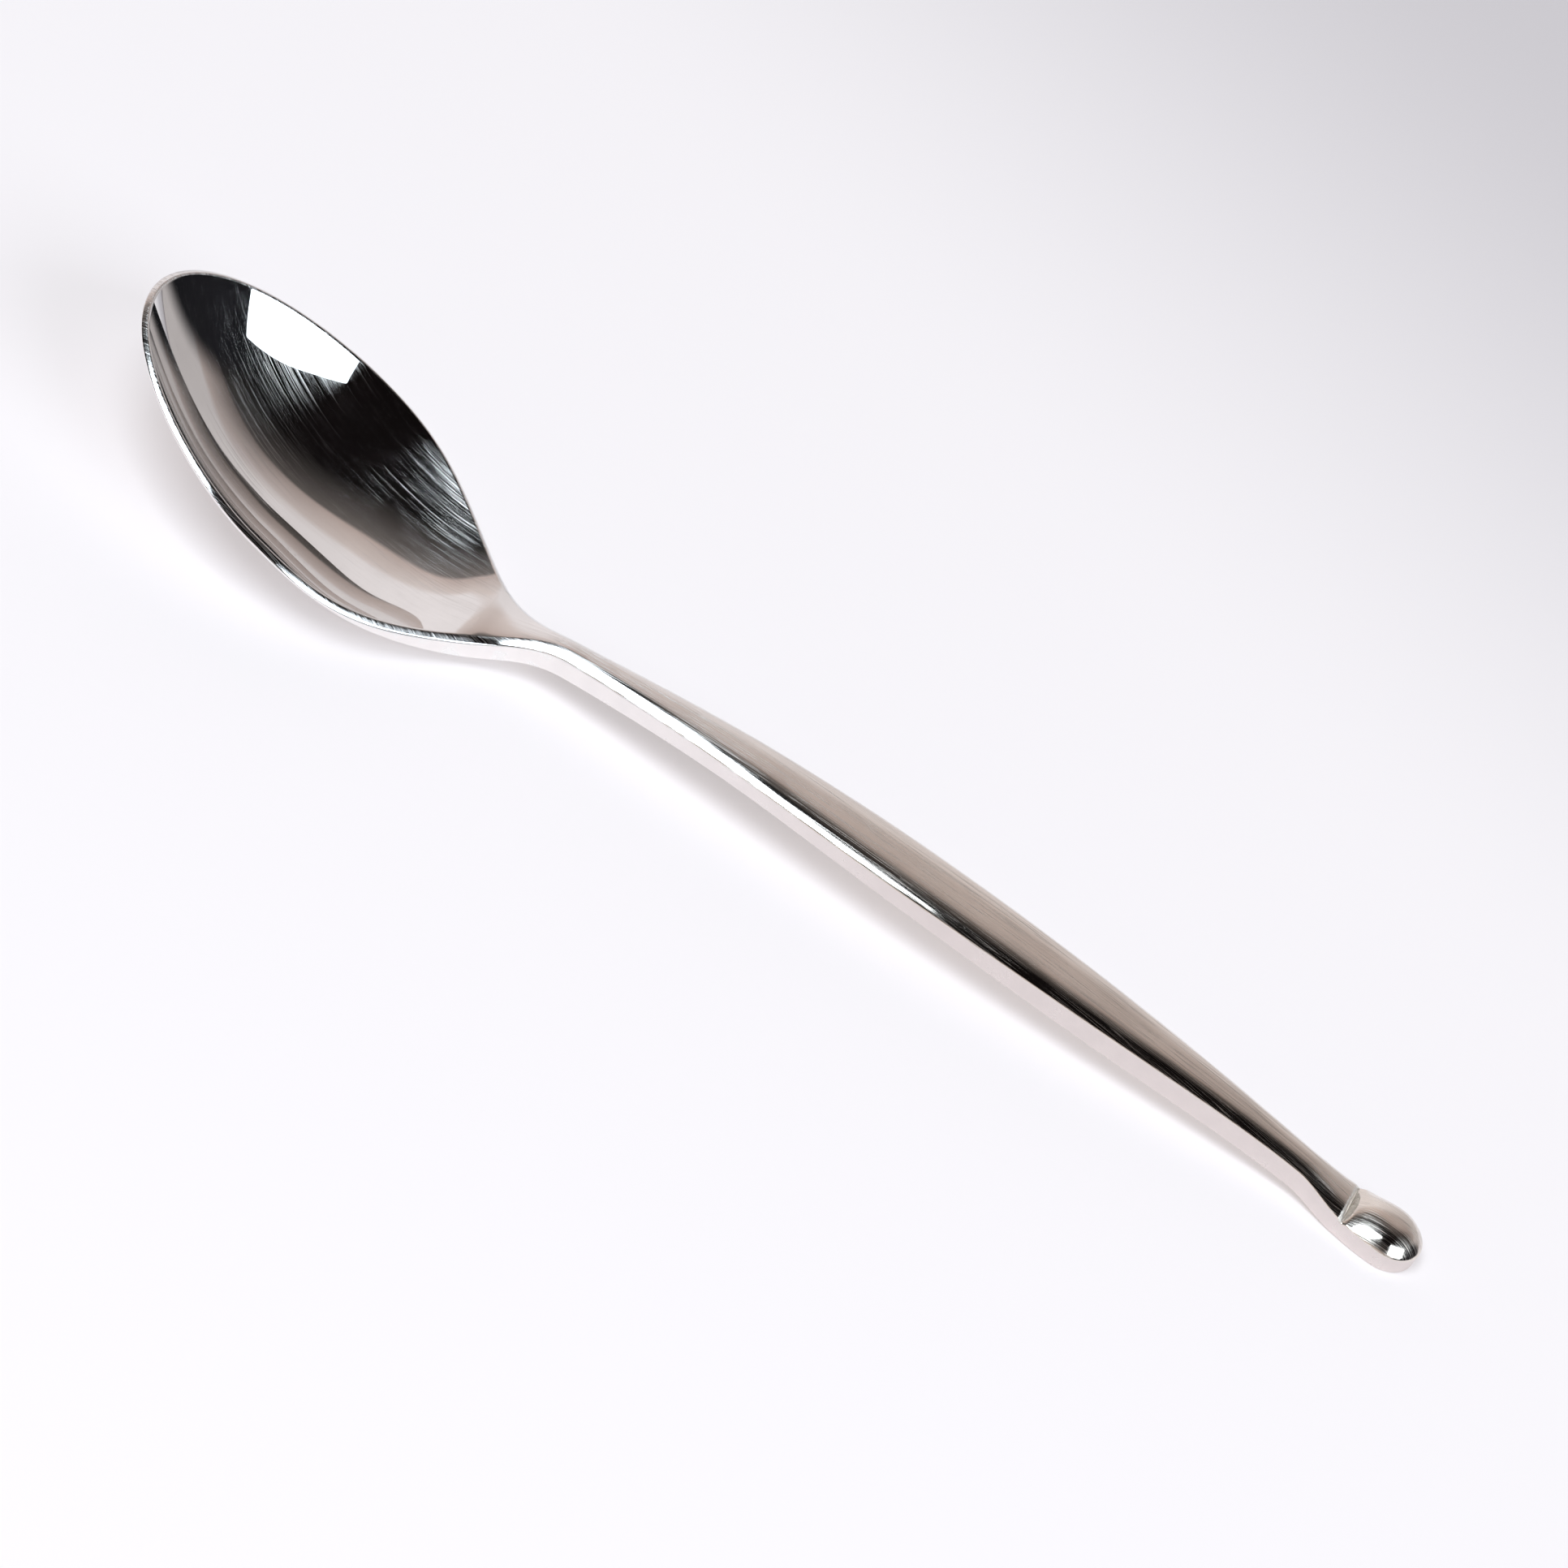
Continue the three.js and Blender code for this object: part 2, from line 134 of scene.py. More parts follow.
# How round the hollow is across: large is an even curve, and small is a valley with straight sides
HOLLOW_BEND = 0.6
TIP_BEND = 1.4

# Share of the hollow's depth that is gained in the turn up to the rim, and how tight that turn is
RIM_TURN_TIP = 0.22
RIM_TURN_FRONT = 0.39
RIM_TURN_HEEL = 0.1
RIM_TURN_POWER = 2.7

# How long each long curve of the outline holds its width, and how it runs out
SHOULDER = (2.8, 3)
SWELL = (1.6, 1.3)
TAPER = (2.4, 1.6)
FLARE = (1.7, 1.6)

# Small rounds that polishing leaves on the edges, and the most of the flat side that each takes up
EDGE_ROUND = 0.12
RIDGE_ROUND = 0.17
FOOT_ROUND = 0.22
ROUND_SHARE = 0.3

# How finely the surface is cut
HOLLOW_COLUMNS = 72
UNDERSIDE_COLUMNS = 36
COLUMN_CROWDING = 0.8
ROUND_STEPS = 5
FLAT_STEPS = 3
TIP_ROWS = 64
SHOULDER_ROWS = 56
NECK_ROWS = 40
HANDLE_ROWS = 110
WAIST_ROWS = 18
GROOVE_ROWS = 10
DROP_FRONT_ROWS = 28
DROP_END_ROWS = 36
HALVINGS = 40
KEY_DIGITS = 5
TINY = 1e-4


def smooth_line(points):
    """A smooth line through points (place, value) that never overshoots them."""
    at = [point[0] for point in points]
    value = [point[1] for point in points]
    last = len(points) - 1
    rate = [(value[i + 1] - value[i]) / (at[i + 1] - at[i]) for i in range(last)]
    slope = [rate[0]] + [0.0] * (last - 1) + [rate[last - 1]]
    for i in range(1, last):
        if rate[i - 1] * rate[i] > 0:
            before = at[i] - at[i - 1]
            after = at[i + 1] - at[i]
            early = 2 * after + before
            late = after + 2 * before
            slope[i] = (early + late) / (early / rate[i - 1] + late / rate[i])

    def at_place(place):
        s = min(max(place, at[0]), at[last])
        i = 0
        while i < last - 1 and s > at[i + 1]:
            i += 1
        step = at[i + 1] - at[i]
        t = (s - at[i]) / step
        start = (1 + 2 * t) * (1 - t) ** 2 * value[i] + t * (1 - t) ** 2 * step * slope[i]
        end = t * t * (3 - 2 * t) * value[i + 1] + t * t * (t - 1) * step * slope[i + 1]
        return start + end

    return at_place


def clamp(value, low, high):
    return min(max(value, low), high)


def smooth_share(place, start, end):
    """A share that grows smoothly from 0 at start to 1 at end."""
    t = clamp((place - start) / (end - start), 0, 1)
    return t * t * (3 - 2 * t)


def soft_lower(a, b, blend):
    """The lower of two heights, rounded over where they meet."""
    share = clamp(0.5 + (b - a) / (2 * blend), 0, 1)
    return b + (a - b) * share - blend * share * (1 - share)


def fall(t, curve):
    """A curve that falls from 1 to 0 as t goes from 0 to 1."""
    hold, run = curve
    return (1 - clamp(t, 0, 1) ** hold) ** run


def half_width(s):
    """Half of the spoon's width at a place along it."""
    if s <= 0 or s >= LENGTH:
        return 0.0
    if s < BOWL_WIDEST_AT:
        return BOWL_HALF * math.sqrt(1 - (1 - s / BOWL_WIDEST_AT) ** TIP_ROUNDNESS)
    if s < NECK_AT:
        share = fall((s - BOWL_WIDEST_AT) / (NECK_AT - BOWL_WIDEST_AT), SHOULDER)
        return NECK_HALF + (BOWL_HALF - NECK_HALF) * share
    if s < HANDLE_WIDEST_AT:
        share = fall((HANDLE_WIDEST_AT - s) / (HANDLE_WIDEST_AT - NECK_AT), SWELL)
        return NECK_HALF + (HANDLE_HALF - NECK_HALF) * share
    if s < WAIST_AT:
        share = fall((s - HANDLE_WIDEST_AT) / (WAIST_AT - HANDLE_WIDEST_AT), TAPER)
        return WAIST_HALF + (HANDLE_HALF - WAIST_HALF) * share
    if s < DROP_CREST_AT:
        share = fall((DROP_CREST_AT - s) / (DROP_CREST_AT - WAIST_AT), FLARE)
        return WAIST_HALF + (DROP_HALF - WAIST_HALF) * share
    return DROP_HALF * math.sqrt(1 - ((s - DROP_CREST_AT) / (LENGTH - DROP_CREST_AT)) ** 2)


def outline_rate(s):
    """How fast the outline widens along the spoon."""
    return (half_width(s + TINY) - half_width(s - TINY)) / (2 * TINY)


edge_height = smooth_line([
    (0, TIP_HEIGHT),
    (BOWL_WIDEST_AT, BOWL_SIDE_HEIGHT),
    (HEEL_AT, HEEL_HEIGHT),
    (NECK_AT, NECK_HEIGHT),
    (ARCH_AT, ARCH_HEIGHT),
    (HANDLE_WIDEST_AT, HANDLE_HEIGHT),
    (TAPER_AT, TAPER_HEIGHT),
    (WAIST_AT, WAIST_HEIGHT),
    (GROOVE_AT, GROOVE_HEIGHT),
    (LENGTH, DROP_HEIGHT),
])

edge_thickness = smooth_line([
    (0, RIM_EDGE),
    (RIM_END_AT, RIM_EDGE),
    (EDGE_THICKEST_AT, HEEL_EDGE),
    (ARCH_AT, ARCH_EDGE),
    (TAPER_AT, TAPER_EDGE),
    (WAIST_AT, WAIST_EDGE),
    (GROOVE_AT, DROP_EDGE),
])


def side_foot(s):
    """The flat side's lower line."""
    return edge_height(s) - edge_thickness(s)


def neck_share(s):
    """A share that grows from 0 in the bowl to 1 at the neck."""
    return smooth_share(s, HOLLOW_FADE_AT, NECK_AT)


def inset(s, depth):
    """Place along and across of the point that lies a level depth inside the outline at s."""
    rate = outline_rate(s)
    slant = math.hypot(1, rate)
    half = half_width(s)
    if s < BOWL_WIDEST_AT or s > DROP_CREST_AT:
        return s + depth * rate / slant, max(0.0, half - depth / slant)
    return s, max(0.0, half - depth * slant)


def hollow_floor(s):
    """The lowest line of the bowl's hollow, which runs up through the heel."""
    lowest = BOWL_WALL - REST_FLAT_DEPTH
    if s < HOLLOW_LOWEST_AT:
        brink = edge_height(BEVEL_WIDTH) + BEVEL_WIDTH * BEVEL_SLOPE
        reach = min(1, (HOLLOW_LOWEST_AT - s) / (HOLLOW_LOWEST_AT - BEVEL_WIDTH))
        return lowest + (brink - lowest) * reach ** FLOOR_FRONT_POWER
    reach = (s - HOLLOW_LOWEST_AT) / (HEEL_AT - HOLLOW_LOWEST_AT)
    return lowest + HEEL_RISE * reach ** FLOOR_HEEL_POWER


def hollow_share(s, q):
    """Share of the hollow's depth at q, from 1 in the middle to 0 at the ridge."""
    opened = smooth_share(s, TIP_END_AT / 2, TIP_END_AT)
    faded = smooth_share(s, TURN_FADE_START_AT, HEEL_AT)
    bend = TIP_BEND + (HOLLOW_BEND - TIP_BEND) * opened
    turn = RIM_TURN_TIP + (RIM_TURN_FRONT - RIM_TURN_TIP) * opened
    turn += (RIM_TURN_HEEL - RIM_TURN_FRONT) * faded
    valley = (math.hypot(bend, q) - bend) / (math.hypot(bend, 1) - bend)
    return 1 - valley * (1 - turn) - q ** RIM_TURN_POWER * turn


crown_power = smooth_line([
    (ARCH_AT, CROWN_POWER),
    (FULLEST_CROWN_AT, FULL_CROWN_POWER),
    (WAIST_AT, CROWN_POWER),
])


def crown_slope(s):
    """How steeply the crown meets the ridge, growing from the neck to the handle's widest place."""
    grown = smooth_share(s, NECK_AT, HANDLE_WIDEST_AT)
    return CROWN_SLOPE * (NECK_CROWN_SHARE + (1 - NECK_CROWN_SHARE) * grown)


def bevel_width(s):
    """Width of the bevel, which is wider round the neck."""
    grown = smooth_share(s, HEEL_AT, NECK_AT)
    wider = grown * (1 - smooth_share(s, HANDLE_START_AT, WIDE_BEVEL_END_AT))
    return BEVEL_WIDTH + (NECK_BEVEL_WIDTH - BEVEL_WIDTH) * wider


def crest_height(s, ridge_half, ridge_height):
    """The line along the middle of the top: the hollow's floor, then the crown of neck and handle."""
    if s < HOLLOW_LOWEST_AT:
        return hollow_floor(s)
    crown = ridge_height + ridge_half * crown_slope(s) / crown_power(s)
    if s < NECK_AT:
        return soft_lower(hollow_floor(s), crown, HEEL_BLEND)
    return crown


def groove_fall(s):
    """A share that falls from 1 to 0, rounded, over the end of the handle as it nears the groove."""
    near = clamp(1 - (GROOVE_AT - s) / GROOVE_LEAD, 0, 1)
    return math.sqrt(1 - near * near)


def notch_depth(s):
    """How deep the groove cuts into the edge."""
    return GROOVE_NOTCH * max(0, 1 - abs(s - GROOVE_AT) / GROOVE_LEAD)


def drop_height(s, y):
    """Height of the drop, which is domed both ways."""
    half = half_width(s)
    reach = DROP_CREST_AT - GROOVE_AT if s < DROP_CREST_AT else LENGTH - DROP_CREST_AT
    along = (s - DROP_CREST_AT) / reach
    across = y / half * math.sqrt(max(0, 1 - along * along)) if half > TINY else 0
    out = min(1, math.hypot(along, across))
    return edge_height(s) - notch_depth(s) + DROP_RISE * (1 - out ** DROP_POWER)


heel_keel = smooth_line([
    (BOWL_WIDEST_AT, hollow_floor(BOWL_WIDEST_AT) - BOWL_WALL),
    (BOWL_REST_AT, hollow_floor(BOWL_REST_AT) - BOWL_WALL),
    (HEEL_AT, HEEL_CLEARANCE),
    (NECK_AT, side_foot(NECK_AT) - UNDER_CROWN),
    (HANDLE_START_AT, side_foot(HANDLE_START_AT) - UNDER_CROWN),
])


def keel_height(s):
    """The lowest line of the underside."""
    if s < BOWL_REST_AT:
        wall = TIP_WALL + (BOWL_WALL - TIP_WALL) * min(1, s / BOWL_WIDEST_AT)
        return min(hollow_floor(s) - wall, side_foot(s))
    if s < NECK_AT:
        return heel_keel(s)
    if s < GROOVE_AT:
        return side_foot(s) - UNDER_CROWN
    return -REST_FLAT_DEPTH


def under_height(s, y):
    """Height of the underside, worn flat where the spoon lies on it."""
    half = half_width(s)
    foot = side_foot(s)
    across = min(1, abs(y) / half) if half > TINY else 1
    share = neck_share(s)
    power = BOWL_UNDERSIDE_POWER + (HANDLE_UNDERSIDE_POWER - BOWL_UNDERSIDE_POWER) * share
    return max(0, foot - (foot - keel_height(s)) * (1 - across ** power))


def bent(start, corner, end):
    """Points of a small round from start to end that is drawn towards a corner."""
    points = []
    for i in range(ROUND_STEPS + 1):
        t = i / ROUND_STEPS
        weights = ((1 - t) ** 2, 2 * t * (1 - t), t * t)
        points.append(tuple(
            weights[0] * start[k] + weights[1] * corner[k] + weights[2] * end[k] for k in range(3)
        ))
    return points


def side_profile(s, edge, edge_end):
    """Points up one side: round of the foot, flat side, and round of the edge up to edge_end."""
    half = half_width(s)
    foot = max(0, side_foot(s))
    thick = edge - foot
    round_foot = min(FOOT_ROUND, ROUND_SHARE * thick, half / 3)
    round_edge = min(EDGE_ROUND, ROUND_SHARE * thick)
    under_s, under_y = inset(s, round_foot)
    start = (under_s, under_y, under_height(s, under_y))
    low = (s, half, foot + round_foot)
    high = (s, half, edge - round_edge)
    points = bent(start, (s, half, foot), low)
    for i in range(1, FLAT_STEPS):
        points.append((s, half, low[2] + (high[2] - low[2]) * i / FLAT_STEPS))
    return points + bent(high, (s, half, edge), edge_end)


def column_shares():
    """Shares of the way from the middle to a ridge, closer together near the ridge."""
    count = HOLLOW_COLUMNS // 2
    turns = [math.pi / 2 * (count - i) / count for i in range(1, count + 1)]
    return [math.sin(turn) ** COLUMN_CROWDING for turn in turns]


COLUMN_SHARES = column_shares()


def ridge_at(along):
    """Half width and height of the bevel's ridge over a place along the spoon."""
    place = along
    if along < BOWL_WIDEST_AT:
        low = 0.0
        high = along
        for _ in range(HALVINGS):
            place = (low + high) / 2
            if inset(place, BEVEL_WIDTH)[0] < along:
                low = place
            else:
                high = place
    bevel = bevel_width(place)
    return inset(place, bevel)[1], edge_height(along) + bevel * BEVEL_SLOPE


def spoon_section(s):
    """Points of bowl, neck or handle from the foot of one side up and over to its middle."""
    fade = groove_fall(s)
    notch = notch_depth(s)
    bevel = bevel_width(s)
    near_ridge = RIDGE_ROUND
    if s > BOWL_WIDEST_AT:
        near_ridge = min(RIDGE_ROUND, inset(s, bevel)[1] / 4)
    inner_s, inner_y = inset(s, bevel + near_ridge)
    ridge_half, ridge_height = ridge_at(inner_s)
    crest = crest_height(inner_s, ridge_half, ridge_height)
    base = edge_height(inner_s)
    share = neck_share(inner_s)
    power = crown_power(inner_s)

    def bevel_point(depth):
        along, across = inset(s, depth)
        return (along, across, edge_height(along) - notch + depth * BEVEL_SLOPE * fade)

    def inner_point(y):
        q = y / ridge_half
        rise = hollow_share(inner_s, q) * (1 - share) + (1 - q ** power) * share
        height = ridge_height + (crest - ridge_height) * rise
        return (inner_s, y, base - notch + (height - base) * fade)

    points = side_profile(s, edge_height(s) - notch, bevel_point(EDGE_ROUND))
    for i in range(1, FLAT_STEPS):
        depth = EDGE_ROUND + (bevel - near_ridge - EDGE_ROUND) * i / FLAT_STEPS
        points.append(bevel_point(depth))
    points += bent(bevel_point(bevel - near_ridge), bevel_point(bevel), inner_point(inner_y))
    points += [inner_point(inner_y * q) for q in COLUMN_SHARES]
    return points


def drop_section(s):
    """Points of the drop from the foot of one side up and over to its middle."""
    edge = edge_height(s) - notch_depth(s)
    round_s, round_y = inset(s, EDGE_ROUND)
    edge_end = (round_s, round_y, drop_height(round_s, round_y))
    points = side_profile(s, edge, edge_end)
    for q in COLUMN_SHARES:
        points.append((round_s, round_y * q, drop_height(round_s, round_y * q)))
    return points


def whole_loop(points, s):
    """A closed section: the given points, the same on the other side, and the underside."""
    loop = points + [(p[0], -p[1], p[2]) for p in reversed(points[:-1])]
    start = points[0]
    for i in range(1, UNDERSIDE_COLUMNS):
        y = start[1] * (2 * i / UNDERSIDE_COLUMNS - 1)
        loop.append((start[0], y, under_height(s, y)))
    return loop


def even_places(start, end, count):
    """Places at even steps, with both ends."""
    return [start + (end - start) * i / count for i in range(count + 1)]


def from_round_start(start, end, count):
    """Places that lie closer together at the start, where the outline is round."""
    turns = [math.pi * i / (2 * count) for i in range(count + 1)]
    return [start + (end - start) * (1 - math.cos(turn)) for turn in turns]


def to_round_end(start, end, count):
    """Places that lie closer together at the end, where the outline is round."""
    return [start + end - place for place in reversed(from_round_start(start, end, count))]


def place_key(point):
    """A point rounded to a key, which points that share a place have in common."""
    return tuple(round(value, KEY_DIGITS) for value in point)


def grid_corners(grid, i, j):
    """Corners of the face after row i and column j in a grid of closed loops."""
    k = (j + 1) % len(grid[i])
    return [grid[i][j], grid[i][k], grid[i + 1][k], grid[i + 1][j]]


def grid_normals(rows):
    """Smooth normals of a grid of closed loops, with points that share a place taken together."""
    sums = {}
    for i in range(len(rows) - 1):
        for j in range(len(rows[0])):
            corners = [Vector(point) for point in grid_corners(rows, i, j)]
            normal = (corners[2] - corners[0]).cross(corners[3] - corners[1])
            for corner in corners:
                place = place_key(corner)
                sums[place] = sums.get(place, Vector((0, 0, 0))) + normal
    return [[sums[place_key(Vector(point))].normalized() for point in row] for row in rows]


def piece_from_rows(name, rows, normals, finish_numbers, finishes, closed_start, closed_end):
    """A mesh over the rows, with smooth normals and a finish for each band of faces round a row."""
    places = {}
    vertices = []
    vertex_normals = []
    index = []
    for row, row_normals in zip(rows, normals):
        line = []
        for point, normal in zip(row, row_normals):
            place = place_key(point)
            if place not in places:
                places[place] = len(vertices)
                vertices.append(((point[0] + TIP_X) * MM, point[1] * MM, point[2] * MM))
                vertex_normals.append(normal)
            line.append(places[place])
        index.append(line)
    faces = []
    finish_of = []
    for i in range(len(rows) - 1):
        for j in range(len(rows[0])):
            corners = grid_corners(index, i, j)
            corners = [c for n, c in enumerate(corners) if c != corners[n - 1]]
            if len(set(corners)) < 3 or len(set(corners)) < len(corners):
                continue
            faces.append(corners)
            finish_of.append(finish_numbers[j])
    skin_count = len(faces)
    if not closed_start:
        faces.append(list(reversed(index[0])))
        finish_of.append(0)
    if not closed_end:
        faces.append(list(index[-1]))
        finish_of.append(0)
    mesh = bpy.data.meshes.new(name)
    mesh.from_pydata(vertices, [], faces)
    for finish in finishes:
        mesh.materials.append(finish)
    mesh.update()
    loop_normals = []
    for n, polygon in enumerate(mesh.polygons):
        polygon.material_index = finish_of[n]
        polygon.use_smooth = n < skin_count
        for corner in polygon.vertices:
            loop_normals.append(vertex_normals[corner] if n < skin_count else polygon.normal)
    mesh.normals_split_custom_set(loop_normals)
    piece = bpy.data.objects.new(name, mesh)
    bpy.context.scene.collection.objects.link(piece)
    return piece


def new_group(name, inputs, outputs):
    """An empty shader node group with the given sockets, and its input and output nodes."""
    group = bpy.data.node_groups.new(name, "ShaderNodeTree")
    for socket_name, socket_type, value in inputs:
        socket = group.interface.new_socket(socket_name, in_out="INPUT", socket_type=socket_type)
        if value is not None:
            socket.default_value = value
    for socket_name, socket_type in outputs:
        group.interface.new_socket(socket_name, in_out="OUTPUT", socket_type=socket_type)
    start = group.nodes.new("NodeGroupInput")
    end = group.nodes.new("NodeGroupOutput")
    return group, start, end


def set_input(tree, socket, value):
    """Gives an input its link, its colour or its number."""
    if isinstance(value, bpy.types.NodeSocket):
        tree.links.new(value, socket)
    elif isinstance(value, tuple):
        socket.default_value = (*value, 1)
    else:
        socket.default_value = value


def math_node(tree, operation, *values):
    """A Math node whose inputs are sockets or numbers; gives its output socket."""
    node = tree.nodes.new("ShaderNodeMath")
    node.operation = operation
    for n, value in enumerate(values):
        set_input(tree, node.inputs[n], value)
    return node.outputs[0]


def range_node(tree, value, low, high, to_low, to_high):
    """A smooth Map Range node; gives its output socket."""
    node = tree.nodes.new("ShaderNodeMapRange")
    node.interpolation_type = "SMOOTHSTEP"
    tree.links.new(value, node.inputs["Value"])
    settings = {"From Min": low, "From Max": high, "To Min": to_low, "To Max": to_high}
    for socket, setting in settings.items():
        set_input(tree, node.inputs[socket], setting)
    return node.outputs["Result"]


def along_spoon(tree, x, start, end, at_start, at_end):
    """A value that changes smoothly from one place along the spoon to another."""
    return range_node(tree, x, TIP_X + start, TIP_X + end, at_start, at_end)


def ramp_node(tree, value, stops):
    """A colour by a value, through stops of position and colour; gives its output socket."""
    ramp = tree.nodes.new("ShaderNodeValToRGB")
    tree.links.new(value, ramp.inputs["Fac"])
    elements = ramp.color_ramp.elements
    while len(elements) < len(stops):
        elements.new(0.5)
    for element, (position, colour) in zip(elements, stops):
        element.position = position
        element.color = (*colour, 1)
    return ramp.outputs["Color"]


def mix_node(tree, share, first, second):
    """A mix of two colours, each a socket or a colour; gives its output socket."""
    mix = tree.nodes.new("ShaderNodeMix")
    mix.data_type = "RGBA"
    tree.links.new(share, mix.inputs["Factor"])
    set_input(tree, mix.inputs["A"], first)
    set_input(tree, mix.inputs["B"], second)
    return mix.outputs["Result"]


def axes_of(tree, vector):
    """The outputs X, Y and Z of a vector."""
    node = tree.nodes.new("ShaderNodeSeparateXYZ")
    tree.links.new(vector, node.inputs["Vector"])
    return node.outputs


def vector_from(tree, x, y, z):
    """A vector from three sockets or numbers; gives its output socket."""
    node = tree.nodes.new("ShaderNodeCombineXYZ")
    for axis, value in zip("XYZ", (x, y, z)):
        set_input(tree, node.inputs[axis], value)
    return node.outputs["Vector"]


def divided_vector(tree, vector, divisor):
    """A vector divided by the value of a socket; gives its output socket."""
    node = tree.nodes.new("ShaderNodeVectorMath")
    node.operation = "DIVIDE"
    tree.links.new(vector, node.inputs[0])
    tree.links.new(divisor, node.inputs[1])
    return node.outputs["Vector"]


def scaled_vector(tree, vector, factor):
    """A vector times a socket or a number; gives its output socket."""
    node = tree.nodes.new("ShaderNodeVectorMath")
    node.operation = "SCALE"
    tree.links.new(vector, node.inputs[0])
    set_input(tree, node.inputs["Scale"], factor)
    return node.outputs["Vector"]


def noise_node(tree, vector, scale, detail):
    """A noise texture over a vector; gives its value."""
    node = tree.nodes.new("ShaderNodeTexNoise")
    node.inputs["Scale"].default_value = scale
    node.inputs["Detail"].default_value = detail
    tree.links.new(vector, node.inputs["Vector"])
    return node.outputs["Fac"]


def make_hair_scratches():
    """Group: thin scratches that run one way, in patches."""
    patch_scale = 0.22
    bare_level = 0.75
    patch_blend = 0.3
    group, start, end = new_group(
        "hair_scratches",
        [
            ("Place", "NodeSocketVector", None),
            ("Turn", "NodeSocketFloat", 0.0),
            ("Length", "NodeSocketFloat", 6.0),
            ("Spacing", "NodeSocketFloat", 0.3),
            ("Width", "NodeSocketFloat", 0.03),
            ("Cover", "NodeSocketFloat", 0.5),
        ],
        [("Mask", "NodeSocketFloat")],
    )
    turn = group.nodes.new("ShaderNodeVectorRotate")
    turn.rotation_type = "Z_AXIS"
    group.links.new(start.outputs["Place"], turn.inputs["Vector"])
    group.links.new(start.outputs["Turn"], turn.inputs["Angle"])
    turned = turn.outputs["Vector"]
    axes = axes_of(group, turned)
    stretched = vector_from(
        group,
        math_node(group, "DIVIDE", axes["X"], start.outputs["Length"]),
        math_node(group, "DIVIDE", axes["Y"], start.outputs["Spacing"]),
        math_node(group, "DIVIDE", axes["Z"], start.outputs["Length"]),
    )
    lines = noise_node(group, stretched, 1.0, 2.0)
    away = math_node(group, "ABSOLUTE", math_node(group, "SUBTRACT", lines, 0.5))
    thin = range_node(group, away, 0.0, start.outputs["Width"], 1.0, 0.0)
    patch = noise_node(group, turned, patch_scale, 1.0)
    half_cover = math_node(group, "MULTIPLY", start.outputs["Cover"], 0.5)
    low = math_node(group, "SUBTRACT", bare_level, half_cover)
    high = math_node(group, "ADD", low, patch_blend)
    gate = range_node(group, patch, low, high, 0.0, 1.0)
    group.links.new(math_node(group, "MULTIPLY", thin, gate), end.inputs["Mask"])
    return group


def make_cloudy_polish():
    """Group: the soft, uneven sheen that wiping and wear leave on polished metal."""
    group, start, end = new_group(
        "cloudy_polish",
        [
            ("Place", "NodeSocketVector", None),
            ("Size", "NodeSocketFloat", 6.0),
            ("Low", "NodeSocketFloat", 0.05),
            ("High", "NodeSocketFloat", 0.12),
        ],
        [("Roughness", "NodeSocketFloat"), ("Cloud", "NodeSocketFloat")],
    )
    scaled = divided_vector(group, start.outputs["Place"], start.outputs["Size"])
    cloud = noise_node(group, scaled, 1.0, 4.0)
    rough = range_node(group, cloud, 0.35, 0.68, start.outputs["Low"], start.outputs["High"])
    group.links.new(rough, end.inputs["Roughness"])
    group.links.new(cloud, end.inputs["Cloud"])
    return group


def make_satin_grain():
    """Group: fine grain with a slight run along the spoon."""
    group, start, end = new_group(
        "satin_grain",
        [
            ("Place", "NodeSocketVector", None),
            ("Grain", "NodeSocketFloat", 0.25),
            ("Run", "NodeSocketFloat", 2.0),
        ],
        [("Height", "NodeSocketFloat")],
    )
    axes = axes_of(group, start.outputs["Place"])
    along = math_node(group, "DIVIDE", axes["X"], start.outputs["Run"])
    shaped = vector_from(group, along, axes["Y"], axes["Z"])
    scaled = divided_vector(group, shaped, start.outputs["Grain"])
    group.links.new(noise_node(group, scaled, 1.0, 3.0), end.inputs["Height"])
    return group


def make_plate_tint():
    """Group: cool bright metal in the bowl that warms along the handle, with soft clouds; where the
    warm colour is darker, as on the flat sides, that change is a painted shade.
    """
    group, start, end = new_group(
        "plate_tint",
        [
            ("Place", "NodeSocketVector", None),
            ("Cloud", "NodeSocketFloat", 0.5),
            ("Cool", "NodeSocketColor", (0.80, 0.79, 0.785, 1)),
            ("Warm", "NodeSocketColor", (0.80, 0.745, 0.69, 1)),
        ],
        [("Colour", "NodeSocketColor")],
    )
    axes = axes_of(group, start.outputs["Place"])
    # On the flat sides this share also brings in a painted shade along the handle.
    warmth_and_painted_shade = along_spoon(group, axes["X"], HEEL_AT, WARM_TINT_AND_SIDE_SHADE_AT, 0.0, 1.0)
    tint = mix_node(group, warmth_and_painted_shade, start.outputs["Cool"], start.outputs["Warm"])
    shade = range_node(group, start.outputs["Cloud"], 0.3, 0.7, 0.96, 1.03)
    group.links.new(scaled_vector(group, tint, shade), end.inputs["Colour"])
    return group


hair_scratches = make_hair_scratches()
plate_tint = make_plate_tint()
cloudy_polish = make_cloudy_polish()
satin_grain = make_satin_grain()

# What a scratch and the groove add to the roughness, and the depths of the fine relief in metres
SCRATCH_ROUGHNESS = 0.24
GROOVE_ROUGHNESS = 0.25
FINE_DEPTH = 0.00001
SATIN_DEPTH = 0.00003
PIT_DEPTH = 0.00008


def new_metal(name):
    """A metal material, its tree, its Principled shader and the place on the spoon in millimetres."""
    material = bpy.data.materials.new(name)
    material.use_nodes = True
    tree = material.node_tree
    shader = tree.nodes["Principled BSDF"]
    shader.inputs["Metallic"].default_value = 1.0
    shader.inputs["Anisotropic"].default_value = 1.0
    tree.links.new(vector_from(tree, 0.0, 1.0, 0.0), shader.inputs["Tangent"])
    coordinates = tree.nodes.new("ShaderNodeTexCoord")
    place = scaled_vector(tree, coordinates.outputs["Object"], 1 / MM)
    return material, tree, shader, place


